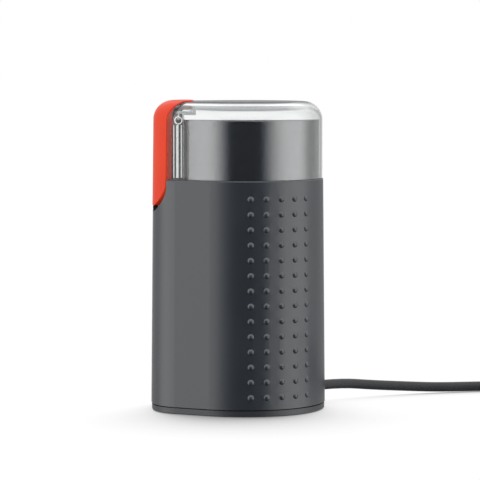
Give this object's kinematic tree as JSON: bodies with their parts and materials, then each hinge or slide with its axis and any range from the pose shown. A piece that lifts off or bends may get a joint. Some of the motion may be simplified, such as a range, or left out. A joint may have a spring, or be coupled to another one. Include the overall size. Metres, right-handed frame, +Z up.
{
  "type": "electric coffee grinder",
  "caption": "Upright electric blade grinder with a tapered dark casing, steel bowl under a clear lift-off lid, side push button over the nose and a coiled mains cord.",
  "frame": {"origin": "on the surface the grinder stands on, under the middle of its plan outline", "axes": "+Z up, -X towards the button, -Y towards the side seen in the picture"},
  "size_m": [0.2831, 0.1406, 0.1645],
  "materials": {
    "casing_plastic": "satin soft-touch, anthracite",
    "base_plastic": "satin, dark grey",
    "button_plastic": "satin gloss, orange red",
    "lid_plastic": "clear, polished",
    "bowl_steel": "drawn stainless steel, satin",
    "blade_steel": "stamped stainless steel",
    "screw_steel": "zinc plated",
    "spring_steel": "drawn wire",
    "shaft_steel": "ground",
    "lamination_steel": "laminated sheet, dull",
    "bracket_alloy": "die cast",
    "nut_alloy": "turned",
    "copper_wire": "enamelled copper winding",
    "copper_bars": "copper segments",
    "bush_bronze": "sintered bronze",
    "contact_brass": "stamped",
    "carbon": "pressed carbon",
    "foot_rubber": "matte black",
    "seal_rubber": "matte",
    "carrier_plastic": "glass-filled, dull",
    "inner_plastic": "dull",
    "capacitor_plastic": "moulded box",
    "wire_plastic": "insulated wire",
    "cord_rubber": "dark grey, satin",
    "tie_plastic": "soft black",
    "plug_rubber": "moulded, dark grey",
    "pin_metal": "nickel plated"
  },
  "bodies": {
    "housing": {"outer_casing": "casing_plastic", "base_cover": "base_plastic", "rubber_feet": "foot_rubber", "base_screws": "screw_steel", "motor_carrier": "carrier_plastic", "carrier_screws": "screw_steel", "bowl_gasket": "seal_rubber", "grinding_bowl": "bowl_steel", "bowl_nut": "nut_alloy", "upper_bracket": "bracket_alloy", "lower_bracket": "bracket_alloy", "upper_bush": "bush_bronze", "lower_bush": "bush_bronze", "shaft_seal": "seal_rubber", "rubber_mounts": "seal_rubber", "motor_bolts": "screw_steel", "stator_core": "lamination_steel", "field_coils": "copper_wire", "brush_holders": "contact_brass", "carbon_brushes": "carbon", "brush_springs": "spring_steel", "switch_body": "inner_plastic", "plunger_spring": "spring_steel", "switch_contacts": "contact_brass", "switch_screws": "screw_steel", "suppression_capacitor": "capacitor_plastic", "terminal_block": "inner_plastic", "strain_relief": "cord_rubber", "cord_clamp": "inner_plastic", "clamp_screws": "screw_steel", "lead_wires": "wire_plastic", "cord_lead": "cord_rubber", "cord_coil": "cord_rubber", "cord_tail": "cord_rubber", "cord_ties": "tie_plastic", "plug_body": "plug_rubber", "plug_pins": "pin_metal"},
    "rotor": {"motor_shaft": "shaft_steel", "armature_core": "lamination_steel", "armature_winding": "copper_wire", "commutator": "copper_bars", "cooling_fan": "inner_plastic", "blade_hub": "inner_plastic", "grinding_blade": "blade_steel", "blade_nut": "pin_metal"},
    "lid": {"lid": "lid_plastic", "button_spring": "spring_steel"},
    "button": {"button": "button_plastic"},
    "plunger": {"switch_plunger": "inner_plastic"}
  },
  "joints": [
    {"name": "rotor_spin", "type": "hinge", "parent": "housing", "child": "rotor", "pos_m": [0.0035, 0, 0.1], "axis": [0, 0, 1], "continuous": true},
    {"name": "lid_lift", "type": "slide", "parent": "housing", "child": "lid", "axis": [0, 0, 1], "range_m": [0, 0.065]},
    {"name": "button_press", "type": "slide", "parent": "lid", "child": "button", "axis": [0, 0, -1], "range_m": [0, 0.0025], "stiffness_N_per_m": 600, "springref_m": -0.002, "deforming": ["button_spring"]},
    {"name": "plunger_press", "type": "slide", "parent": "housing", "child": "plunger", "axis": [0, 0, -1], "range_m": [0, 0.0025], "deforming": ["plunger_spring"]}
  ],
  "couplings": [
    {"joint": "plunger_press", "follows": "button_press", "ratio": 1}
  ]
}
